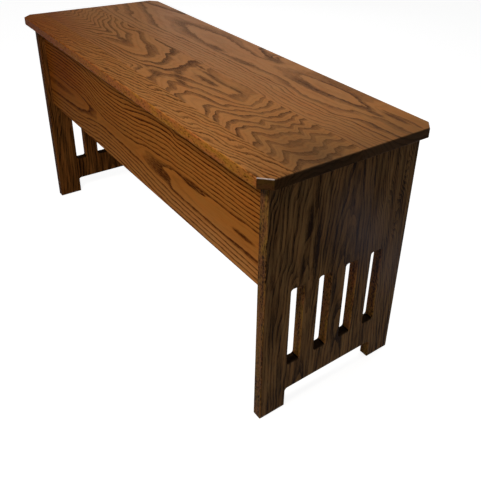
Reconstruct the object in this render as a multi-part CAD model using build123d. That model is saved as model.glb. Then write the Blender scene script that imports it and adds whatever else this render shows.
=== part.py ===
# Mission bench with a storage box: a plank lid with clipped corners, hinged over a box that is
# housed between two slab ends, each with four upright slots and a cut-out that leaves two feet.
# Millimetres. +X along the bench, the sitter faces -Y, +Z up, origin on the floor under the centre.

from build123d import *
import os

# Overall
length = 914.4
depth = 330.2
height = 457.2

# Lid, three boards glued edge to edge
lid_thickness = 17.5
lid_end_overhang = 15.0
lid_front_overhang = 19.0
lid_back_overhang = 16.0
lid_clip = 16.5
lid_ease = 2.0
lid_front_board_width = 50.0
lid_middle_board_width = 122.0

# Slab ends, three boards each, glued in the middle of the bars beside the outer slots
end_thickness = 18.5
end_ease = 1.0
foot_width = 50.5
cutout_height = 37.5
cutout_radius = 5.0
slot_count = 4
slot_width = 25.4
slot_pitch = 56.0
slot_bottom = 92.2
slot_length = 152.6
slot_radius = 4.0

# Front and back boards of the box
board_thickness = 18.5
board_width = 188.3
board_ease = 1.0
front_recess = 12.5
housing_depth = 6.0

# Box floor, a thin panel in grooves
floor_thickness = 9.5
floor_rise = 12.0
groove_depth = 6.0

# Bumpers that hold the front of the lid off the case
bumper_height = 2.0
bumper_diameter = 10.0
bumper_inset = 30.0

# Butt hinges
hinge_count = 2
hinge_spacing = 520.0
hinge_length = 63.5
knuckle_count = 5
knuckle_radius = 3.0
knuckle_bore_radius = 1.8
leaf_width = 20.0
leaf_thickness = 1.4
leaf_corner = 1.5

# Countersunk wood screws, their hidden shanks six-sided to keep the facets few
screws_per_leaf = 3
screw_spacing = 22.0
screw_stagger = 2.5
screw_head_radius = 3.0
screw_shank_radius = 1.6
screw_shank_sides = 6
screw_length = 13.0

# Fits and clearances
joint_clearance = 0.1
knuckle_clearance = 0.3
pin_clearance = 0.05
screw_clearance = 0.08
cut_overrun = 2.0

# Places of the lid, the ends and the box
lid_underside = height - lid_thickness
case_top = lid_underside - bumper_height
end_outer = length / 2 - lid_end_overhang
end_inner = end_outer - end_thickness
end_front = -depth / 2 + lid_front_overhang
end_back = depth / 2 - lid_back_overhang
end_depth = end_back - end_front
end_middle = (end_front + end_back) / 2
board_end = end_inner + housing_depth
board_bottom = case_top - board_width
front_board_face = end_front + front_recess
front_board_inside = front_board_face + board_thickness
back_board_inside = end_back - board_thickness
floor_bottom = board_bottom + floor_rise
floor_top = floor_bottom + floor_thickness
floor_front = front_board_inside - groove_depth
floor_back = back_board_inside + groove_depth

# Places of the hinge axis and, about that axis, of a leaf's plate
hinge_offset = knuckle_radius + knuckle_clearance
hinge_y = end_back + hinge_offset
hinge_z = lid_underside - hinge_offset
knuckle_length = (hinge_length - knuckle_clearance * (knuckle_count - 1)) / knuckle_count
plate_near = -hinge_offset
plate_far = -leaf_width
plate_outside = hinge_offset
plate_inside = plate_outside - leaf_thickness
screw_row = (plate_near + plate_far) / 2
screw_cone_depth = screw_head_radius - screw_shank_radius


# How a round solid stands on the plane z = 0
standing = (Align.CENTER, Align.CENTER, Align.MIN)


def block(x_range, y_range, z_range):
    """A box from its lowest and highest x, y and z."""
    ranges = (x_range, y_range, z_range)
    size = [high - low for low, high in ranges]
    low_corner = [low for low, high in ranges]
    return Pos(*low_corner) * Box(*size, align=(Align.MIN, Align.MIN, Align.MIN))


def spaced(count, spacing, middle=0):
    """Evenly spaced places either side of a middle."""
    first = middle - spacing * (count - 1) / 2
    return [first + spacing * i for i in range(count)]


def rip(panel, seams):
    """Saw a glued-up panel along lines of constant y into its boards, front to back."""
    box = panel.bounding_box()
    edges = [box.min.Y - cut_overrun, *seams, box.max.Y + cut_overrun]
    x_range = (box.min.X - cut_overrun, box.max.X + cut_overrun)
    z_range = (box.min.Z - cut_overrun, box.max.Z + cut_overrun)
    return [panel & block(x_range, pair, z_range) for pair in zip(edges, edges[1:])]


# Hinge parts stand about a hinge axis along X through the origin. The plate of a leaf lies
# towards -Y with its mounting face up, and a quarter turn about the axis fits it to the back.
def screw(clearance=0):
    """A countersunk screw that points up, head face at z = 0, made wider all round by a clearance."""
    head = screw_head_radius + clearance
    shank = screw_shank_radius + clearance
    cone = Cone(head, shank, screw_cone_depth, align=standing)
    return cone + extrude(RegularPolygon(shank, screw_shank_sides), screw_length + clearance)


def screw_hole():
    """The room a screw takes in a leaf and in the wood behind it."""
    mouth = Cylinder(screw_head_radius + screw_clearance, cut_overrun, align=standing)
    return screw(screw_clearance) + Pos(0, 0, -cut_overrun) * mouth


def on_plate(solid):
    """Copies of a solid at every screw of a leaf, in a staggered row."""
    rows = [screw_row - screw_stagger, screw_row + screw_stagger]
    places = enumerate(spaced(screws_per_leaf, screw_spacing))
    return [Pos(x, rows[i % 2], plate_inside) * solid for i, x in places]


def leaf(first_knuckle):
    """One hinge leaf: its plate, every second knuckle and its countersunk holes."""
    plate = Pos(0, screw_row) * Rectangle(hinge_length, plate_near - plate_far)
    plate = chamfer(plate.vertices().sort_by(Axis.Y)[:2], leaf_corner)
    solid = extrude(Pos(0, 0, plate_inside) * plate, leaf_thickness)
    for i in range(first_knuckle, knuckle_count, 2):
        start = -hinge_length / 2 + i * (knuckle_length + knuckle_clearance)
        barrel = extrude(Plane.YZ.offset(start) * Circle(knuckle_radius), knuckle_length)
        span = (start, start + knuckle_length)
        solid += barrel + block(span, (plate_near, 0), (plate_inside, plate_outside))
    solid -= extrude(Plane.YZ * Circle(knuckle_bore_radius), hinge_length, both=True)
    for hole in on_plate(screw_hole()):
        solid -= hole
    return solid


def hinge_pin():
    """A plain pin, cut flush with the outer knuckles."""
    return extrude(Plane.YZ * Circle(knuckle_bore_radius - pin_clearance), hinge_length / 2, both=True)


def hinge_places():
    """The frame of the lid leaf and of the case leaf at each hinge, left to right."""
    on_axis = [Pos(x, hinge_y, hinge_z) for x in spaced(hinge_count, hinge_spacing)]
    return [(place, place * Rot(90, 0, 0)) for place in on_axis]


def lid_boards():
    """The lid with clipped corners and eased edges, in its three boards."""
    outline = chamfer(Rectangle(length, depth).vertices(), lid_clip)
    lid = extrude(Pos(0, 0, lid_underside) * outline, lid_thickness)
    by_height = lid.edges().group_by(Axis.Z)
    lid = fillet(by_height[0] + by_height[-1], lid_ease)
    for lid_frame, _ in hinge_places():
        for hole in on_plate(screw_hole()):
            lid -= lid_frame * hole
    first_seam = -depth / 2 + lid_front_board_width
    return rip(lid, [first_seam, first_seam + lid_middle_board_width])


def end_boards():
    """The right-hand slab end, slotted and housed for the box, in its three boards."""
    outline = Pos(end_middle, case_top / 2) * Rectangle(end_depth, case_top)
    cutout = Pos(end_middle, 0) * Rectangle(end_depth - 2 * foot_width, 2 * cutout_height)
    outline -= fillet(cutout.vertices(), cutout_radius)
    for y in spaced(slot_count, slot_pitch, end_middle):
        slot = RectangleRounded(slot_width, slot_length, slot_radius)
        outline -= Pos(y, slot_bottom + slot_length / 2) * slot
    slab = extrude(Plane.YZ.offset(end_inner) * outline, end_thickness)
    faces = slab.faces().sort_by(Axis.X)
    slab = chamfer(faces[0].edges() + faces[-1].edges(), end_ease)

    housing = (end_inner - cut_overrun, board_end + joint_clearance)
    boards_z = (board_bottom - joint_clearance, case_top + cut_overrun)
    front_y = (front_board_face - joint_clearance, front_board_inside + joint_clearance)
    back_y = (back_board_inside - joint_clearance, end_back + cut_overrun)
    floor_y = (floor_front - joint_clearance, floor_back + joint_clearance)
    floor_z = (floor_bottom - joint_clearance, floor_top + joint_clearance)
    slab -= block(housing, front_y, boards_z)
    slab -= block(housing, back_y, boards_z)
    slab -= block(housing, floor_y, floor_z)
    return rip(slab, [end_middle - slot_pitch, end_middle + slot_pitch])


def box_board(y_range, groove_y):
    """A long board of the box with eased edges and the groove for the floor."""
    board = block((-board_end, board_end), y_range, (board_bottom, case_top))
    board = fillet(board.edges().filter_by(Axis.X), board_ease)
    groove_z = (floor_bottom - joint_clearance, floor_top + joint_clearance)
    past_ends = (-board_end - cut_overrun, board_end + cut_overrun)
    return board - block(past_ends, groove_y, groove_z)


def front_board():
    """The deep board between the ends, set back from their front edges."""
    groove_y = (floor_front - joint_clearance, front_board_inside + cut_overrun)
    return box_board((front_board_face, front_board_inside), groove_y)


def back_board():
    """The board at the back, flush with the ends' rear edges, with the hinge screw holes."""
    groove_y = (back_board_inside - cut_overrun, floor_back + joint_clearance)
    board = box_board((back_board_inside, end_back), groove_y)
    for _, case_frame in hinge_places():
        for hole in on_plate(screw_hole()):
            board -= case_frame * hole
    return board


def box_floor():
    """The thin panel held in the grooves of the ends and the long boards."""
    return block((-board_end, board_end), (floor_front, floor_back), (floor_bottom, floor_top))


def bumpers():
    """Two round bumpers on the top edge of the front board."""
    y = (front_board_face + front_board_inside) / 2
    pad = extrude(Circle(bumper_diameter / 2), bumper_height)
    x = end_inner - bumper_inset
    return Compound([Pos(-x, y, case_top) * pad, Pos(x, y, case_top) * pad])


# Name every piece
nodes = {}
for name, board in zip(("front", "middle", "rear"), lid_boards()):
    nodes[f"lid_{name}_board"] = board
for name, board in zip(("front", "middle", "rear"), end_boards()):
    nodes[f"right_end_{name}_board"] = board
    nodes[f"left_end_{name}_board"] = mirror(board, Plane.YZ)
nodes["front_board"] = front_board()
nodes["back_board"] = back_board()
nodes["box_floor"] = box_floor()
nodes["lid_bumpers"] = bumpers()

lid_screws = []
case_screws = []
for name, (lid_frame, case_frame) in zip(("left", "right"), hinge_places()):
    nodes[f"{name}_hinge_lid_leaf"] = lid_frame * leaf(1)
    nodes[f"{name}_hinge_case_leaf"] = case_frame * leaf(0)
    nodes[f"{name}_hinge_pin"] = lid_frame * hinge_pin()
    lid_screws += [lid_frame * piece for piece in on_plate(screw())]
    case_screws += [case_frame * piece for piece in on_plate(screw())]
nodes["lid_hinge_screws"] = Compound(lid_screws)
nodes["case_hinge_screws"] = Compound(case_screws)

os.makedirs("parts", exist_ok=True)
for name, solid in nodes.items():
    export_step(solid, f"parts/{name}.step")
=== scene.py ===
"""Looks of the mission bench: stained oak with a figure laid out for each board, brass
hinges with slotted screws, rubber bumpers, a plywood floor and a pale studio."""

import math

import bmesh
import bpy
from mathutils import Euler, Matrix, Vector


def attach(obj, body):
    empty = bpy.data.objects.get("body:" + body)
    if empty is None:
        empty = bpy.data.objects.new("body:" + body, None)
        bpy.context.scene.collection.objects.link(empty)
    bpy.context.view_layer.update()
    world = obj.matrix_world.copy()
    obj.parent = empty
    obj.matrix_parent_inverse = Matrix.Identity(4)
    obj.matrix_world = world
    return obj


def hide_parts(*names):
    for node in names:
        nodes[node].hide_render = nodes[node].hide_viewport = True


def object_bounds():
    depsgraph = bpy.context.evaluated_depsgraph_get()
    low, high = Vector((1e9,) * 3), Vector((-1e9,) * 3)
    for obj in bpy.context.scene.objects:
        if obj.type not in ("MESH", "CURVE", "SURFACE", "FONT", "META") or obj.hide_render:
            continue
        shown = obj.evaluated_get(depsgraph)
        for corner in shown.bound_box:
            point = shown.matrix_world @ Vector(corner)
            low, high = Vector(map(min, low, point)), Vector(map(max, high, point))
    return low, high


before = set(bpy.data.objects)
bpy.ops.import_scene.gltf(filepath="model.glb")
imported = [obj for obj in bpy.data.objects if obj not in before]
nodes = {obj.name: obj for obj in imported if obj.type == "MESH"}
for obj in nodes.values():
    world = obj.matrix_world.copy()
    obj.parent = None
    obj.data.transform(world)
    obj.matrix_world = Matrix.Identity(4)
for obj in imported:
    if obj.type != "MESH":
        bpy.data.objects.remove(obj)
cad_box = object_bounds()
MM = 0.001
MM_PER_METRE = 1000


# Node trees written as plain arithmetic
class Value:
    """A socket that makes Math nodes when it is added, multiplied and so on."""

    def __init__(self, graph, socket):
        self.graph = graph
        self.socket = socket

    def __add__(self, other):
        return self.graph.math("ADD", self, other)

    def __radd__(self, other):
        return self.graph.math("ADD", other, self)

    def __sub__(self, other):
        return self.graph.math("SUBTRACT", self, other)

    def __rsub__(self, other):
        return self.graph.math("SUBTRACT", other, self)

    def __mul__(self, other):
        return self.graph.math("MULTIPLY", self, other)

    def __truediv__(self, other):
        return self.graph.math("DIVIDE", self, other)


class Graph:
    """One material and short ways to add nodes to it."""

    noise_reach = 2.5

    def __init__(self, name):
        self.material = bpy.data.materials.new(name)
        self.material.use_nodes = True
        self.tree = self.material.node_tree
        self.tree.nodes.clear()

    def node(self, kind, **settings):
        """A new shader node with some of its settings."""
        node = self.tree.nodes.new("ShaderNode" + kind)
        for key, value in settings.items():
            setattr(node, key, value)
        return node

    def feed(self, socket, value):
        """Links a Value to a socket, or sets the socket to a plain number or colour."""
        if isinstance(value, Value):
            self.tree.links.new(value.socket, socket)
        else:
            socket.default_value = value

    def math(self, operation, *inputs, clamp=False):
        """What one Math node makes of Values and numbers."""
        node = self.node("Math", operation=operation, use_clamp=clamp)
        for socket, value in zip(node.inputs, inputs):
            self.feed(socket, value)
        return Value(self, node.outputs[0])

    def clamp(self, value):
        """A value held between 0 and 1."""
        return self.math("ADD", value, 0, clamp=True)

    def ramp(self, value, zero, one):
        """0 where a value is at one level or on its far side, 1 at another level and beyond it,
        and straight between them."""
        return self.math("MULTIPLY", value - zero, 1 / (one - zero), clamp=True)

    def span(self, value, zero, one):
        """A value stretched so that it goes from one number to another as it goes from 0 to 1."""
        return value * (one - zero) + zero

    def curve(self, x, points):
        """A smooth curve through a few (x, y) points, or a plain number as it is."""
        if not isinstance(points, list):
            return points
        xs, ys = zip(*points)
        low, high = min(ys), max(ys)
        node = self.node("FloatCurve")
        line = node.mapping.curves[0]
        last = len(points) - 1
        for i, (px, py) in enumerate(points):
            place = ((px - xs[0]) / (xs[-1] - xs[0]), (py - low) / (high - low))
            if i == 0:
                line.points[0].location = place
            elif i == last:
                line.points[-1].location = place
            else:
                line.points.new(*place)
        for point in line.points:
            point.handle_type = "AUTO_CLAMPED"
        node.mapping.update()
        self.feed(node.inputs["Value"], (x - xs[0]) / (xs[-1] - xs[0]))
        return self.span(Value(self, node.outputs[0]), low, high)

    def spot(self, u, v, at_u, at_v, long, wide, height=1.0):
        """A soft hill of a given length, width and height."""
        near_u = (u - at_u) / long
        near_v = (v - at_v) / wide
        return self.math("EXPONENT", (near_u * near_u + near_v * near_v) * -1.0) * height

    def vector(self, x, y, z):
        node = self.node("CombineXYZ")
        for socket, value in zip(node.inputs, (x, y, z)):
            self.feed(socket, value)
        return Value(self, node.outputs[0])

    def noise(self, place, grain, detail, roughness=0.5, seed=0.0, moved=0):
        """Soft noise about 0, within about 1 either way. Its grains have a given size along each
        of the three directions of place, and the seed moves it along one of these."""
        parts = [value / size for value, size in zip(place, grain)]
        parts[moved] = parts[moved] + seed
        node = self.node("TexNoise", noise_dimensions="3D")
        self.feed(node.inputs["Vector"], self.vector(*parts))
        self.feed(node.inputs["Scale"], 1.0)
        self.feed(node.inputs["Detail"], detail)
        self.feed(node.inputs["Roughness"], roughness)
        return (Value(self, node.outputs["Fac"]) - 0.5) * self.noise_reach

    def random(self, number):
        """A steady random value from 0 to 1 for each whole number."""
        node = self.node("TexWhiteNoise", noise_dimensions="1D")
        self.feed(node.inputs["W"], number)
        return Value(self, node.outputs["Value"])

    def mix(self, factor, first, second, blend="MIX"):
        """Two colours mixed, from all of the first at factor 0. The colour sockets of the Mix
        node share their names with its number sockets, so they go by their places."""
        factor_in, first_in, second_in, color_out = 0, 6, 7, 2
        node = self.node("Mix", data_type="RGBA", blend_type=blend)
        self.feed(node.inputs[factor_in], factor)
        self.feed(node.inputs[first_in], first)
        self.feed(node.inputs[second_in], second)
        return Value(self, node.outputs[color_out])

    def object_place(self):
        """Object coordinates in millimetres and the object's own normal, as three values each."""
        source = self.node("TexCoord")
        place, normal = [], []
        for output, parts in (("Object", place), ("Normal", normal)):
            split = self.node("SeparateXYZ")
            self.tree.links.new(source.outputs[output], split.inputs[0])
            parts += [Value(self, socket) for socket in split.outputs]
        return [value * MM_PER_METRE for value in place], normal

    def finish(self, color, roughness, bump, bump_depth, **settings):
        """A Principled shader with a relief in millimetres. The settings are plain numbers on
        the shader's own sockets."""
        relief = self.node("Bump")
        self.feed(relief.inputs["Strength"], 1.0)
        self.feed(relief.inputs["Distance"], bump_depth * MM)
        self.feed(relief.inputs["Height"], bump)
        shader = self.node("BsdfPrincipled")
        self.feed(shader.inputs["Base Color"], color)
        self.feed(shader.inputs["Roughness"], roughness)
        for key, value in settings.items():
            self.feed(shader.inputs[key.replace("_", " ")], value)
        self.tree.links.new(relief.outputs[0], shader.inputs["Normal"])
        output = self.node("OutputMaterial")
        self.tree.links.new(shader.outputs[0], output.inputs[0])
        return self.material


# The directions in which a seed moves noise, where it doesn't move it along the grain
ACROSS, THROUGH = 1, 2


def srgb(r, g, b):
    """A colour written as it looks on screen, as linear light."""
    channels = []
    for c in (r / 255, g / 255, b / 255):
        channels.append(c / 12.92 if c <= 0.04045 else ((c + 0.055) / 1.055) ** 2.4)
    return (*channels, 1.0)


def dress(name, material):
    """Gives a CAD node one material."""
    slots = nodes[name].data.materials
    slots.clear()
    slots.append(material)


# Oak. Each board has a grain frame: u along the grain, v across its wide face and w through it,
# in millimetres. Growth rings are the contour lines of a gentle hill drawn over (u, v), one ring
# for each step in height. The figure of a board has these parts:
#
# level      (u, rings) points, the height of the hill along the board
# folds      (side, line, slope, tip): beyond the line, where v is greater (ABOVE) or less
#            (BELOW), the hill changes by slope rings a millimetre, and tip rounds the bend
# swells     (u, v, length, width, rings): soft hills and hollows
# fades      (u, v, length, width, strength): where the lines grow faint
# patches    (u, v, length, width): dark patches of open grain
# washes     (kind, u, v, length, width, strength): soft spots of amber in the varnish, and
#            soft spots of painted shade, painted light and painted reflection
# band       the share of each ring that is dark early wood
# contrast   how dark that early wood is
# warp       rings by which broad noise bends the lines
# fray       rings by which fine noise frays them
# sway       millimetres by which noise moves the figure along and across the board
# pores      how clear the pores are
# streak     how dark the long streaks of stain are
# base       how dark the whole board is
# end_tone   how much darker the ends are
# edge_tone  how much lighter the long edges are, a number or (v, amount) points; where it is
# #            negative it darkens them as painted shade
#
# Every figure gives its level, folds, band, contrast, warp and sway. The rest can be left out.
PLAIN_FIGURE = dict(
    swells=(), fades=(), patches=(), washes=(), fray=0.1, pores=1.0, streak=0.15, base=0.0,
    end_tone=0.57, edge_tone=0.0,
)
ABOVE, BELOW = 1, -1


def figure(**parts):
    """The figure of one board, plain where nothing is given."""
    return {**PLAIN_FIGURE, **parts}


def ring_hill(g, laid, u, v):
    """The hill whose contour lines are the growth rings, apart from its noise."""
    hill = g.curve(u, laid["level"])
    for side, line, slope, tip in laid["folds"]:
        past = (v - g.curve(u, line)) * side
        rounded = (past + g.math("SQRT", past * past + tip * tip)) * 0.5
        hill = rounded * g.curve(u, slope) + hill
    for swell in laid["swells"]:
        hill = hill + g.spot(u, v, *swell)
    return hill


# What a soft spot does to the colour below it: amber is a spot of the varnish, and the others
# # are painted shade, painted light and a painted reflection
WASHES_AND_PAINTED_LIGHT = {
    "amber": ("MULTIPLY", (0.72, 0.48, 0.22, 1)),
    # Painted shade, where the light falls off towards the right end
    "dull": ("MULTIPLY", (0.45, 0.50, 0.60, 1)),
    # Painted light, a brighter and cooler pool along the bottom of the front board
    "painted_light_spot": ("MULTIPLY", (1.35, 1.6, 2.5, 1)),
    # A painted reflection, a bluish grey sheen mixed into the colour of the ends
    "painted_reflection": ("MIX", (0.26, 0.22, 0.25, 1)),
}

# Tints of the stain, which multiply the colour of the wood, and last the colour of a painted
# highlight
WARM_DRIFT = (1.12, 0.92, 0.80, 1)
GOLDEN_EDGE = (1.04, 0.96, 0.42, 1)
REDDISH_EDGE = (0.98, 0.76, 0.64, 1)
GREY_END = (0.95, 1.1, 1.5, 1)
# Colour of the pale painted highlight on the upper arrises of the clipped corners
PAINTED_HIGHLIGHT_COLOR = (0.62, 0.54, 0.52, 1)

# How much each fine mark darkens the wood
LINES_BETWEEN = 0.18
PORES = 0.24
FIBRES = 0.2
EDGE_FLECKS = 1.445
CLOUDS = 0.08

# Rings that the hill rises for each millimetre through the board, so that the two faces differ
RINGS_THROUGH = 0.1
# How far one step of the seed moves the noise
SEED_STEP = 37.0
# Depth in millimetres of the open pores and the soft early wood
OAK_RELIEF = 0.08


def oak(name, axes, face, laid, seed, light, dark, gloss, turned=None, clip_highlight=0.0):
    """Stained and varnished oak with one board's figure.

    axes names the object's axes that u, v and w follow, and face is the place of the wide face
    along w. Where turned is given, v runs the other way, from that place, which turns the
    figure about half of it. The last argument is how strong a pale painted highlight is on the
    upper arrises of the clipped corners.
    """
    g = Graph(name)
    place, normal = g.object_place()
    order = ["xyz".index(axis) for axis in axes]
    u, v, w = (place[i] for i in order)
    if turned is not None:
        v = turned - v
    shift = seed * SEED_STEP

    def field(long, wide, **settings):
        """Noise as long as this along the grain and as wide as this across it."""
        return g.noise((u, v, w), (long, wide, wide), seed=shift, **settings)

    # Which way the surface faces, against the grain and against the sky
    along, across, out = (g.math("ABSOLUTE", normal[i]) for i in order)
    upward = g.ramp(normal[2], zero=0.0, one=1 / 3)
    corner = along * across
    end_grain = g.ramp(along, zero=0.35, one=0.65)
    edge_grain = g.ramp(across, zero=0.4, one=0.8)
    arris = g.clamp(out * g.math("SQRT", g.clamp(1 - out * out)) * 2)

    # Growth rings, the hill's contour lines
    warp = field(long=110, wide=34, detail=1.0)
    fray = field(long=11, wide=2.6, detail=2.0, moved=ACROSS)
    sway_long, sway_wide = laid["sway"]
    swayed_u = u + field(long=60, wide=15, detail=0.4) * sway_long
    swayed_v = v + field(long=45, wide=20, detail=1.0, moved=ACROSS) * sway_wide
    hill = ring_hill(g, laid, swayed_u, swayed_v) + (w - face) * RINGS_THROUGH
    hill = hill + warp * laid["warp"] + fray * laid["fray"]
    ring = g.math("FLOOR", hill)
    phase = hill - ring

    # Early wood: a band that darkens towards the end of each ring and stops short there, broken
    # into dashes, of its own strength in each ring and fainter on the long edges
    band = laid["band"]
    early = g.ramp(phase, zero=1 - band, one=1 - 0.4 * band)
    early = early * g.ramp(phase, zero=1.0, one=0.92)
    dashes = field(long=10, wide=1.2, detail=1.0, moved=ACROSS)
    dashes = g.ramp(dashes, zero=-0.4, one=0.35)
    early = early * g.span(g.random(ring + shift), 0.65, 1.0)
    early = early * g.span(dashes, 0.5, 1.0) * g.span(edge_grain, 1.0, 0.3)
    for fade in laid["fades"]:
        early = early * (1 - g.spot(u, v, *fade))
    for patch in laid["patches"]:
        ragged = g.ramp(g.spot(u, v, *patch) + fray * 0.3, zero=0.15, one=0.7)
        early = g.math("MAXIMUM", early, ragged * g.span(dashes, 0.5, 0.75))

    # Fine marks: faint lines at each third of a ring, pores, fibres, flecks and drifts
    third = g.math("FRACT", hill * 3)
    between = g.ramp(third, zero=0.4, one=0.8) * g.ramp(third, zero=1.0, one=0.85)
    between = between * (1 - edge_grain)
    pore_field = field(long=4.5, wide=0.38, detail=1.0, moved=ACROSS)
    pores = g.ramp(pore_field + early * 0.45, zero=0.42, one=0.75) * laid["pores"]
    fibre = field(long=22, wide=0.9, detail=2.0, roughness=0.6)
    fleck = field(long=5.5, wide=2.4, detail=2.0, roughness=0.6) * edge_grain
    cloud = field(long=90, wide=30, detail=2.0, moved=THROUGH)
    streak = field(long=130, wide=9, detail=2.0, roughness=0.6, moved=ACROSS)
    tinge = field(long=30, wide=8, detail=1.0)

    # Stain, from the light colour at shade 0 to the dark one at 1
    shade = early * laid["contrast"] + between * LINES_BETWEEN + pores * PORES
    shade = shade + fibre * FIBRES + fleck * EDGE_FLECKS + cloud * CLOUDS
    shade = shade + streak * laid["streak"] + laid["base"]
    shade = g.clamp(shade) * g.span(end_grain, 1.0, 0.65)
    color = g.mix(shade, light, dark)
    warmth = g.clamp(cloud * 0.35 + tinge * 0.45 + 0.3)
    color = g.mix(warmth, color, WARM_DRIFT, "MULTIPLY")
    edge_tint = g.mix(g.clamp(tinge * 1.2 + 0.5), GOLDEN_EDGE, REDDISH_EDGE)
    color = g.mix(edge_grain, color, edge_tint, "MULTIPLY")
    color = g.mix(end_grain, color, GREY_END, "MULTIPLY")
    # Soft spots of amber in the varnish, and of painted shade, painted light and painted reflection
    for kind, *spot in laid["washes"]:
        blend, tint = WASHES_AND_PAINTED_LIGHT[kind]
        color = g.mix(g.spot(u, v, *spot), color, tint, blend)

    # Darker ends and clipped corners, lighter long edges, a painted highlight along every arris,
    # # and a pale painted highlight on the upper arrises of the clipped corners
    clip = g.ramp(corner, zero=0.3, one=0.45)
    tone = 1 - end_grain * laid["end_tone"] - clip * 0.2
    # The arris term lightens every arris as a painted highlight
    tone = tone + edge_grain * g.curve(v, laid["edge_tone"]) + arris * 0.15
    color = g.mix(1.0, color, g.vector(tone, tone, tone), "MULTIPLY")
    # The pale painted highlight on the upper arrises of the clipped corners
    clip_arris_highlight = arris * upward * g.ramp(corner, zero=0.06, one=0.2) * clip_highlight
    color = g.mix(clip_arris_highlight, color, PAINTED_HIGHLIGHT_COLOR)

    # Dark wood and end grain are duller, and pores and early wood lie a little deeper
    rough = g.clamp(0.3 + shade * 0.16 + end_grain * 0.2)
    relief = pores * -0.7 - early * 0.3
    return g.finish(color, rough, relief, OAK_RELIEF, Specular_IOR_Level=gloss)


# Figures of the lid's boards: u is x and v is y
middle_crest = [(-460, -72), (-286, -60), (-169, -52), (22, -54), (90, -45), (200, -38), (460, -36)]
middle_figure = figure(
    level=[(-460, 9.4), (-385, 5.5), (-286, 1), (-247, 0), (-220, -1), (-169, -2), (-64, -3),
           (-25, -4), (22, -5), (53, -5.5), (143, -5.7), (205, -6.2), (250, -8), (316, -11),
           (361, -13), (413, -14.8), (460, -16.5)],
    folds=[
        (ABOVE, middle_crest,
         [(-460, -0.07), (-290, -0.08), (-208, -0.035), (-85, -0.026), (-40, -0.022), (4, -0.007),
          (200, -0.004), (460, -0.012)], 5),
        (BELOW, middle_crest,
         [(-460, -0.07), (-290, -0.06), (-220, -0.035), (-127, -0.018), (-20, -0.02), (52, -0.03),
          (127, -0.05), (172, -0.062), (226, -0.058), (262, -0.048), (322, -0.032), (364, -0.018),
          (460, -0.012)], 5),
        (BELOW, [(-460, -92), (-220, -80), (-60, -80), (52, -92), (460, -88)],
         [(-460, -0.02), (-260, -0.04), (-220, -0.11), (-60, -0.11), (0, -0.03), (52, 0.06),
          (143, 0.09), (262, 0.085), (322, 0.07), (364, 0.055), (460, 0.045)], 4),
    ],
    swells=[(122, 10, 62, 26, -0.75)],
    fades=[(-400, -100, 120, 22, 0.35), (-410, -40, 90, 50, 0.4), (135, -6, 75, 14, 0.8),
           (370, -50, 120, 60, 0.4)],
    patches=[(31, -89, 24, 10), (46, -54, 16, 7), (70, -64, 24, 7), (92, -74, 18, 5),
             (112, -33, 36, 6), (42, -6, 24, 3), (85, -14, 30, 3.5), (130, -18, 40, 3.5),
             (175, -16, 30, 3.5), (-185, -52, 30, 6)],
    # The second spot, at the right end, is painted shade
    washes=[("amber", -450, -125, 230, 60, 1.0), ("dull", 465, -60, 130, 80, 1.0)],
    band=0.58, contrast=1.05, warp=0.2, sway=(16, 2.4), fray=0.08,
)
rear_crest = [(-460, 125), (-259, 114), (-37, 110), (220, 106), (375, 114), (460, 116)]
rear_figure = figure(
    level=[(-460, -0.9), (-330, -0.4), (-259, 0.0), (-157, 0.35), (-37, 0.5), (83, 0.5),
           (143, 0.55), (220, 0.7), (320, 0.6), (360, 0.2), (385, 0.05), (410, 0.15), (460, 0.2)],
    folds=[
        (ABOVE, rear_crest,
         [(-460, -0.03), (-157, -0.018), (0, -0.03), (41, -0.04), (80, -0.01), (220, 0.0),
          (460, 0.0)], 8),
        (BELOW, rear_crest,
         [(-460, -0.03), (-157, -0.0175), (-37, -0.019), (90, -0.024), (172, -0.03),
          (262, -0.018), (320, -0.02), (375, -0.03), (460, -0.04)], 8),
        (BELOW, [(-460, 30), (-259, 50), (0, 66), (460, 66)],
         [(-460, -0.04), (-200, -0.07), (0, -0.1), (460, -0.09)], 6),
    ],
    swells=[(257, 125, 112, 15, 0.62), (215, 101, 85, 10, 0.3), (66, 136, 30, 13, -0.45),
            (-40, 80, 42, 8, 0.3), (50, 76, 34, 7, 0.3), (413, 137, 40, 4, -0.45)],
    fades=[(0, 30, 700, 40, 0.3), (-400, 90, 160, 60, 0.4), (185, 122, 50, 14, 0.6)],
    patches=[(-45, 81, 36, 8), (79, 137, 28, 10), (63, 79, 42, 6), (231, 102, 72, 8),
             (403, 131, 30, 5), (371, 115, 24, 5)],
    # Both spots, at the right end, are painted shade
    washes=[("dull", 470, -20, 110, 80, 0.7), ("dull", 480, 110, 90, 70, 0.6)],
    band=0.48, contrast=0.95, warp=0.15, sway=(24, 5),
)
front_figure = figure(
    level=[(-460, 0), (460, 26)],
    folds=[(ABOVE, -400, -0.12, 4)],
    fades=[(-430, -140, 300, 60, 0.45)],
    # The second spot, at the right end, is painted shade
    washes=[("amber", -460, -160, 320, 60, 1.0), ("dull", 470, -110, 110, 60, 0.5)],
    band=0.6, contrast=1.05, warp=0.7, sway=(30, 4), fray=0.2, edge_tone=0.08,
)

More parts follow.
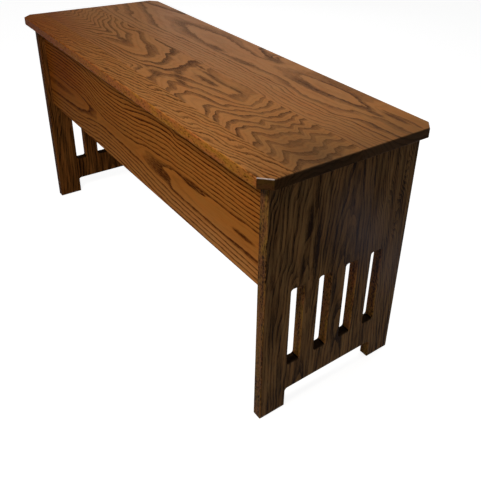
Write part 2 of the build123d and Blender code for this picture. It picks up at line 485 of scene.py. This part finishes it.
# Figures of the box's long boards: u is x and v is z
upper_crest = [(-430, 320), (-300, 322), (-183, 324), (-100, 318), (0, 316), (90, 320), (430, 326)]
lower_crest = [(-430, 316), (-300, 318), (-183, 320), (-100, 314), (0, 312), (90, 312), (430, 316)]
box_figure = figure(
    level=[(-430, 0.75), (-330, 0.7), (-270, 0.62), (-215, 0.34), (-183, 0.02), (-172, -0.18),
           (-140, -0.5), (-80, -0.62), (-10, -0.6), (20, -0.58), (46, -0.42), (90, -0.12),
           (128, -0.02), (140, 0.12), (180, 0.4), (240, 0.5), (330, 0.5), (430, 0.62)],
    folds=[
        (ABOVE, upper_crest,
         [(-430, -0.035), (-100, -0.03), (40, -0.02), (120, -0.016), (180, -0.03),
          (430, -0.035)], 4),
        (BELOW, lower_crest,
         [(-430, -0.03), (-100, -0.03), (40, -0.02), (120, -0.016), (180, -0.022),
          (430, -0.025)], 4),
        (ABOVE, [(-430, 332), (-300, 335), (-183, 330), (-90, 322), (0, 326), (130, 335),
                 (430, 341)], -0.1, 4),
        (BELOW, [(-430, 288), (-300, 290), (-183, 302), (-90, 303), (0, 298), (130, 293),
                 (430, 286)], -0.085, 4),
    ],
    swells=[(238, 331, 36, 4, -0.55), (372, 316, 34, 3.5, -0.5)],
    patches=[(368, 315, 30, 3.5), (222, 331, 30, 4), (112, 306, 18, 8)],
    washes=[("amber", -330, 375, 120, 55, 0.8), ("amber", -420, 320, 150, 60, 0.5),
            # These two spots along the bottom of the board are painted light
            ("painted_light_spot", 0, 264, 320, 32, 0.35), ("painted_light_spot", 350, 262, 200, 36, 0.8)],
    band=0.5, contrast=1.35, warp=0.15, sway=(20, 1.6), fray=0.06,
)
back_crest = [(-430, 330), (-100, 352), (180, 344), (430, 322)]
back_figure = figure(
    level=[(-430, 2.2), (-200, 0.8), (60, 0.3), (430, 1.9)],
    folds=[
        (ABOVE, back_crest, [(-430, -0.05), (60, -0.07), (430, -0.06)], 9),
        (BELOW, back_crest, -0.065, 9),
    ],
    swells=[(-150, 350, 70, 6, 0.6)],
    band=0.5, contrast=1.2, warp=0.3, sway=(24, 4),
)

# Figures of the end's boards: u is z and v is y
end_front_crest = [(0, -66), (250, -64), (330, -60), (437, -58)]
end_front_figure = figure(
    level=[(0, 3.3), (90, 3.0), (200, 2.3), (262, 1.75), (290, 1.0), (325, 0.75), (350, 0.2),
           (400, -0.2), (437, -0.6)],
    folds=[
        (ABOVE, end_front_crest, -0.05, 3),
        (BELOW, end_front_crest, -0.04, 3),
        (BELOW, [(0, -90), (200, -88), (330, -80), (437, -76)],
         [(0, -0.11), (200, -0.09), (330, -0.075), (437, -0.09)], 3),
    ],
    swells=[(260, -82, 52, 3.2, -0.65), (262, -62, 62, 3.6, -0.6), (380, -61, 36, 3, -0.5)],
    patches=[(398, -59, 34, 4), (277, -78, 30, 5), (299, -56, 40, 4), (274, -135, 20, 5)],
    band=0.6, contrast=0.7, warp=0.8, sway=(30, 2.5), fray=0.08, streak=0.95, base=0.23,
    # The front strip is darker as painted shade
    end_tone=0.85, edge_tone=[(-147, -0.5), (-141, -0.5), (-135, 0.1), (0, 0.1)],
)
end_middle_crest = [(0, 8), (200, 12), (437, 20)]
end_middle_figure = figure(
    level=[(0, 2.6), (100, 2.3), (220, 1.75), (300, 1.1), (358, 0.3), (390, -0.2), (437, -1.0)],
    folds=[
        (ABOVE, end_middle_crest, -0.045, 5),
        (BELOW, end_middle_crest, -0.04, 5),
        (ABOVE, [(0, 24), (437, 34)], -0.1, 4),
        (BELOW, [(0, -8), (437, -4)], -0.11, 4),
    ],
    swells=[(310, 14, 46, 3, -0.6), (300, 32, 60, 4, -0.5)],
    patches=[(283, -18, 38, 5), (360, 16, 10, 4), (308, 14, 16, 4), (319, 30, 28, 3),
             (264, 37, 24, 4), (300, -50, 40, 4)],
    # Both spots are a painted reflection, a bluish grey sheen
    washes=[("painted_reflection", 345, 12, 55, 45, 0.26), ("painted_reflection", 285, 56, 60, 44, 0.4)],
    band=0.6, contrast=0.7, warp=0.8, sway=(30, 2.5), fray=0.08, streak=0.95, base=0.23,
    end_tone=0.85, edge_tone=0.1,
)
end_rear_figure = figure(
    level=[(0, -1.5), (200, 0), (437, 5)],
    folds=[(ABOVE, 50, [(0, 0.13), (200, 0.16), (437, 0.27)], 4)],
    swells=[(290, 132, 70, 9, -1.3)],
    # Both spots are a painted reflection, a bluish grey sheen
    washes=[("painted_reflection", 280, 64, 60, 40, 0.42), ("painted_reflection", 205, 130, 70, 45, 0.36)],
    band=0.6, contrast=0.6, warp=0.7, sway=(30, 2.5), fray=0.08, streak=0.95, base=0.25,
    # The rear strip is darker as painted shade
    end_tone=0.85, edge_tone=[(0, 0.1), (138, 0.1), (144, -0.45), (150, -0.45)],
)

# Figure of the plywood floor: u is x and v is y
panel_figure = figure(
    level=[(-430, 0), (0, 1.4), (430, 0.2)],
    folds=[(ABOVE, 20, -0.03, 30), (BELOW, -30, -0.04, 30)],
    band=0.6, contrast=0.5, warp=0.5, sway=(14, 3), pores=0.3,
)

# About where the wide faces lie that carry the figures
LID_TOP_Z = cad_box[1][2] / MM
BOX_FRONT_Y = -134
BOX_BACK_Y = 149
END_FACE_X = 442
FLOOR_TOP_Z = 269

LID_LIGHT = srgb(160, 110, 61)
LID_DARK = srgb(68, 40, 18)
# How strong the pale painted highlight on the lid's clipped corners is
LID_CLIP_HIGHLIGHT = 0.8
for part, laid, seed, gloss in (
    ("front", front_figure, 3, 0.005),
    ("middle", middle_figure, 5, 0.014),
    ("rear", rear_figure, 8, 0.022),
):
    material = oak(f"oak_lid_{part}", "xyz", LID_TOP_Z, laid, seed, LID_LIGHT, LID_DARK, gloss,
                   clip_highlight=LID_CLIP_HIGHLIGHT)
    dress(f"lid_{part}_board", material)

BOX_LIGHT = srgb(173, 110, 47)
BOX_DARK = srgb(72, 34, 8)
BOX_GLOSS = 0.001
for name, laid, face, seed in (
    ("front_board", box_figure, BOX_FRONT_Y, 12),
    ("back_board", back_figure, BOX_BACK_Y, 19),
):
    dress(name, oak(f"oak_{name}", "xzy", face, laid, seed, BOX_LIGHT, BOX_DARK, BOX_GLOSS))

# The left end carries the right end's figures turned front to back, about the ends' middle, and
# # without the painted reflection on the right end's boards
END_DARK = srgb(42, 23, 9)
END_MIDDLE_Y = 1.5
END_SEED_STEP = 4
right_figures = [end_front_figure, end_middle_figure, end_rear_figure]
left_figures = [dict(laid, washes=()) for laid in reversed(right_figures)]
for side, figures, face, turned, light, gloss, first_seed in (
    # The left end's light colour is darker than the right end's, as painted shade on its inner face
    ("left", left_figures, -END_FACE_X, 2 * END_MIDDLE_Y, srgb(142, 92, 44), 0.002, 27),
    ("right", right_figures, END_FACE_X, None, srgb(176, 134, 86), 0.012, 28),
):
    for i, part in enumerate(("front", "middle", "rear")):
        name = f"{side}_end_{part}_board"
        seed = first_seed + END_SEED_STEP * i
        dress(name, oak(f"oak_{name}", "zyx", face, figures[i], seed, light, END_DARK, gloss,
                        turned=turned))

PANEL_SEED = 47
PANEL_GLOSS = 0.1
dress("box_floor", oak("birch_panel", "xyz", FLOOR_TOP_Z, panel_figure, PANEL_SEED,
                       srgb(176, 134, 88), srgb(140, 98, 58), PANEL_GLOSS))


def brass(name, color, seed):
    """Drawn brass: fine lines along x, clouds of tarnish and a few dull spots."""
    tarnished = srgb(104, 76, 36)
    relief = 0.02
    g = Graph(name)
    place, _ = g.object_place()
    drawn = g.noise(place, (24, 0.14, 0.14), detail=3.0, roughness=0.6, seed=seed)
    cloud = g.noise(place, (9, 7, 7), detail=3.0, seed=seed, moved=ACROSS)
    spots = g.noise(place, (1.3, 1.3, 1.3), detail=2.0, seed=seed, moved=THROUGH)
    spots = g.ramp(spots, zero=0.5, one=0.9)
    tarnish = g.clamp(cloud * 0.3 + drawn * 0.12 + spots * 0.35 + 0.25)
    shade = g.mix(tarnish, color, tarnished)
    rough = g.clamp(0.3 + tarnish * 0.3 + drawn * 0.05)
    return g.finish(shade, rough, drawn - spots, relief, Metallic=1.0)


def rubber():
    """Matt rubber with a fine grain and a little dust."""
    clean = srgb(38, 35, 33)
    dusty = srgb(86, 80, 74)
    relief = 0.05
    g = Graph("bumper_rubber")
    place, _ = g.object_place()
    grain = g.noise(place, (0.5, 0.5, 0.5), detail=3.0)
    dust = g.ramp(g.noise(place, (3, 3, 3), detail=3.0), zero=0.0, one=1.0)
    shade = g.mix(g.clamp(dust * 0.5 + grain * 0.2), clean, dusty)
    return g.finish(shade, g.clamp(0.72 + dust * 0.2), grain, relief)


hinge_brass = brass("hinge_brass", srgb(196, 164, 92), seed=0.0)
screw_brass = brass("screw_brass", srgb(206, 172, 98), seed=11.0)
for side in ("left", "right"):
    for part in ("lid_leaf", "case_leaf", "pin"):
        dress(f"{side}_hinge_{part}", hinge_brass)


# Turned pieces that take the place of plainer solids
def turned_piece(profile):
    """A solid of revolution about Z from (radius, height) points in millimetres."""
    steps = 32
    weld = 1e-7
    bm = bmesh.new()
    points = [bm.verts.new((r * MM, 0, z * MM)) for r, z in profile]
    lines = [bm.edges.new(pair) for pair in zip(points, points[1:])]
    bmesh.ops.spin(bm, geom=points + lines, cent=(0, 0, 0), axis=(0, 0, 1), steps=steps,
                   angle=2 * math.pi)
    bmesh.ops.remove_doubles(bm, verts=bm.verts, dist=weld)
    bmesh.ops.recalc_face_normals(bm, faces=bm.faces)
    mesh = bpy.data.meshes.new("turned")
    bm.to_mesh(mesh)
    bm.free()
    return mesh


def slotted(mesh, width, depth, reach):
    """Cuts a screwdriver slot along X into the face at z = 0 of a turned screw."""
    size = Matrix.Diagonal((reach * MM, width * MM, 2 * depth * MM, 1))
    screw = bpy.data.objects.new("screw_blank", mesh)
    bm = bmesh.new()
    bmesh.ops.create_cube(bm, size=1.0, matrix=size)
    cutter_mesh = bpy.data.meshes.new("slot")
    bm.to_mesh(cutter_mesh)
    bm.free()
    cutter = bpy.data.objects.new("slot", cutter_mesh)
    for item in (screw, cutter):
        bpy.context.scene.collection.objects.link(item)
    cut = screw.modifiers.new("slot", "BOOLEAN")
    cut.operation = "DIFFERENCE"
    cut.solver = "EXACT"
    cut.object = cutter
    seen = screw.evaluated_get(bpy.context.evaluated_depsgraph_get())
    result = bpy.data.meshes.new_from_object(seen)
    for item in (screw, cutter):
        bpy.data.objects.remove(item)
    return result


def loose_parts(name):
    """The lowest and the highest corner of each loose part of a CAD node, from left to right."""
    weld = 1e-6
    bm = bmesh.new()
    bm.from_mesh(nodes[name].data)
    bmesh.ops.remove_doubles(bm, verts=bm.verts, dist=weld)
    left = set(bm.verts)
    parts = []
    while left:
        reached = [left.pop()]
        group = []
        while reached:
            vert = reached.pop()
            group.append(vert.co.copy())
            for edge in vert.link_edges:
                other = edge.other_vert(vert)
                if other in left:
                    left.discard(other)
                    reached.append(other)
        parts.append([Vector([pick(p[i] for p in group) for i in range(3)]) for pick in (min, max)])
    bm.free()
    return sorted(parts, key=lambda part: part[0].x)


def copies(name, mesh, frames, body, material, node):
    """One object with a copy of a mesh at every frame, in place of a CAD node."""
    bm = bmesh.new()
    for place in frames:
        start = len(bm.verts)
        bm.from_mesh(mesh)
        bm.verts.ensure_lookup_table()
        bmesh.ops.transform(bm, matrix=place, verts=bm.verts[start:])
    joined = bpy.data.meshes.new(name)
    bm.to_mesh(joined)
    bm.free()
    joined.materials.append(material)
    piece = bpy.data.objects.new(name, joined)
    bpy.context.scene.collection.objects.link(piece)
    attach(piece, body)
    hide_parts(node)


# A countersunk screw, from its head at z = 0 to its tip, as (radius, height) points
THREAD_TURNS = 9
THREAD_PITCH = 1.1
THREAD_ROOT = (1.25, 2.2)
THREAD_CREST = (1.58, 2.6)
thread = []
for i in range(THREAD_TURNS):
    thread += [(radius, start + THREAD_PITCH * i) for radius, start in (THREAD_ROOT, THREAD_CREST)]
screw_profile = [(0, 0), (2.84, 0), (3.0, 0.14), (1.6, 1.4), *thread, (1.1, 12.4), (0, 13.0)]
screw_mesh = slotted(turned_piece(screw_profile), width=0.8, depth=0.9, reach=8)

# Each screw was driven home at an angle of its own, in radians
FIRST_TURN = 0.4
NEXT_TURN = 1.9
for body in ("lid", "case"):
    frames = []
    for i, (low, high) in enumerate(loose_parts(f"{body}_hinge_screws")):
        middle = (low + high) / 2
        if body == "lid":
            head = Matrix.Translation((middle.x, middle.y, low.z))
        else:
            head = Matrix.Translation((middle.x, high.y, middle.z))
            head = head @ Matrix.Rotation(math.pi / 2, 4, "X")
        frames.append(head @ Matrix.Rotation(FIRST_TURN + NEXT_TURN * i, 4, "Z"))
    copies(f"{body}_slotted_screws", screw_mesh, frames, body, screw_brass,
           f"{body}_hinge_screws")

# A moulded bumper with a rounded rim and a dimple, as (radius, height) points
bumper_profile = [(0, 0), (4.85, 0), (5.0, 0.15), (5.0, 1.3), (4.8, 1.7), (4.3, 1.93), (3.6, 2.0),
                  (1.3, 2.0), (1.0, 1.85), (0, 1.8)]
places = [Matrix.Translation(((low.x + high.x) / 2, (low.y + high.y) / 2, low.z))
          for low, high in loose_parts("lid_bumpers")]
copies("moulded_bumpers", turned_piece(bumper_profile), places, "case", rubber(),
       "lid_bumpers")


# Studio
def lamp(name, place, target, size, power, color):
    """A rectangular lamp that faces a target, in metres and watts."""
    data = bpy.data.lights.new(name, "AREA")
    data.shape = "RECTANGLE"
    data.size, data.size_y = size
    data.energy = power
    data.color = color
    light = bpy.data.objects.new(name, data)
    light.location = place
    facing = Vector(target) - Vector(place)
    light.rotation_euler = facing.to_track_quat("-Z", "Y").to_euler()
    bpy.context.scene.collection.objects.link(light)


def seen_directly(tree):
    """1 for rays that show the background itself, its reflection or what lies behind glass."""
    path = tree.nodes.new("ShaderNodeLightPath")
    total = path.outputs["Is Camera Ray"]
    for kind in ("Is Glossy Ray", "Is Transmission Ray"):
        either = tree.nodes.new("ShaderNodeMath")
        either.operation = "MAXIMUM"
        tree.links.new(total, either.inputs[0])
        tree.links.new(path.outputs[kind], either.inputs[1])
        total = either.outputs[0]
    return total


def make_floor():
    """A floor that looks white and still takes a faint shadow, and that throws little light
    back up at the object."""
    half = 9.0
    dim = (0.2, 0.2, 0.2, 1)
    pale = (0.45, 0.45, 0.45, 1)
    glow_strength = 0.9
    mesh = bpy.data.meshes.new("studio_floor")
    corners = [(-half, -half, 0), (half, -half, 0), (half, half, 0), (-half, half, 0)]
    mesh.from_pydata(corners, [], [(0, 1, 2, 3)])
    floor = bpy.data.objects.new("studio_floor", mesh)
    bpy.context.scene.collection.objects.link(floor)

    g = Graph("studio_paper")
    hidden = g.node("BsdfDiffuse")
    g.feed(hidden.inputs["Color"], dim)
    paper = g.node("BsdfDiffuse")
    g.feed(paper.inputs["Color"], pale)
    glow = g.node("Emission")
    g.feed(glow.inputs["Strength"], glow_strength)
    both = g.node("AddShader")
    choice = g.node("MixShader")
    output = g.node("OutputMaterial")
    for source, target in (
        (paper.outputs[0], both.inputs[0]),
        (glow.outputs[0], both.inputs[1]),
        (seen_directly(g.tree), choice.inputs[0]),
        (hidden.outputs[0], choice.inputs[1]),
        (both.outputs[0], choice.inputs[2]),
        (choice.outputs[0], output.inputs[0]),
    ):
        g.tree.links.new(source, target)
    mesh.materials.append(g.material)


def make_world():
    """A soft even light, seen as white near the horizon and darker above it, so that the gloss
    of the varnish stays low."""
    white_below = 3
    dark_above = 10
    white = 1.0
    dark = 0.15
    light_on_object = 0.12
    world = bpy.data.worlds.new("studio")
    bpy.context.scene.world = world
    world.use_nodes = True
    tree = world.node_tree
    background = tree.nodes["Background"]
    background.inputs["Color"].default_value = (1, 1, 1, 1)

    place = tree.nodes.new("ShaderNodeTexCoord")
    split = tree.nodes.new("ShaderNodeSeparateXYZ")
    backdrop = tree.nodes.new("ShaderNodeMapRange")
    backdrop.interpolation_type = "SMOOTHSTEP"
    backdrop.inputs["From Min"].default_value = math.sin(math.radians(white_below))
    backdrop.inputs["From Max"].default_value = math.sin(math.radians(dark_above))
    backdrop.inputs["To Min"].default_value = white
    backdrop.inputs["To Max"].default_value = dark
    strength = tree.nodes.new("ShaderNodeMapRange")
    strength.inputs["To Min"].default_value = light_on_object
    for source, target in (
        (place.outputs["Generated"], split.inputs[0]),
        (split.outputs["Z"], backdrop.inputs["Value"]),
        (seen_directly(tree), strength.inputs["Value"]),
        (backdrop.outputs[0], strength.inputs["To Max"]),
        (strength.outputs[0], background.inputs["Strength"]),
    ):
        tree.links.new(source, target)


make_floor()
make_world()
lamp("key", place=(0.38, -0.75, 1.12), target=(0.3, -0.1, 0.35), size=(0.4, 0.3), power=7,
     color=(1.0, 0.93, 0.84))
lamp("overhead", place=(0.0, 0.75, 1.5), target=(0.0, 0.0, 0.45), size=(0.8, 0.6), power=7,
     color=(1.0, 0.98, 0.97))
lamp("window", place=(-1.8, 1.5, 1.0), target=(-0.2, 0.1, 0.45), size=(1.2, 0.8), power=2.0,
     color=(0.92, 0.96, 1.0))

# The camera, fitted to the photo with the sensor along the frame's height. Here the sensor lies
# along its width, so the lens and the shifts are larger by the frame's height over its width.
# Its place is in metres, its turn in degrees.
FRAME_WIDTH, FRAME_HEIGHT = 481, 500
SENSOR = 36.0
CAMERA_PLACE = (0.99443, -0.57398, 0.83528)
CAMERA_TURN = (60.344, -2.563, 52.199)
FITTED_LENS = 44.7725
FITTED_SHIFT_X = -0.08458
FITTED_SHIFT_Y = -0.12440
NEAREST_SEEN = 0.01
camera_data = bpy.data.cameras.new("camera")
camera_data.sensor_fit = "HORIZONTAL"
camera_data.sensor_width = SENSOR
camera_data.lens = FITTED_LENS * FRAME_HEIGHT / FRAME_WIDTH
camera_data.shift_x = FITTED_SHIFT_X * FRAME_HEIGHT / FRAME_WIDTH
camera_data.shift_y = FITTED_SHIFT_Y * FRAME_HEIGHT / FRAME_WIDTH
camera_data.clip_start = NEAREST_SEEN
camera = bpy.data.objects.new("camera", camera_data)
camera.location = CAMERA_PLACE
camera.rotation_euler = Euler([math.radians(angle) for angle in CAMERA_TURN], "XYZ")
bpy.context.scene.collection.objects.link(camera)
bpy.context.scene.camera = camera

bpy.context.scene.view_settings.view_transform = "Standard"
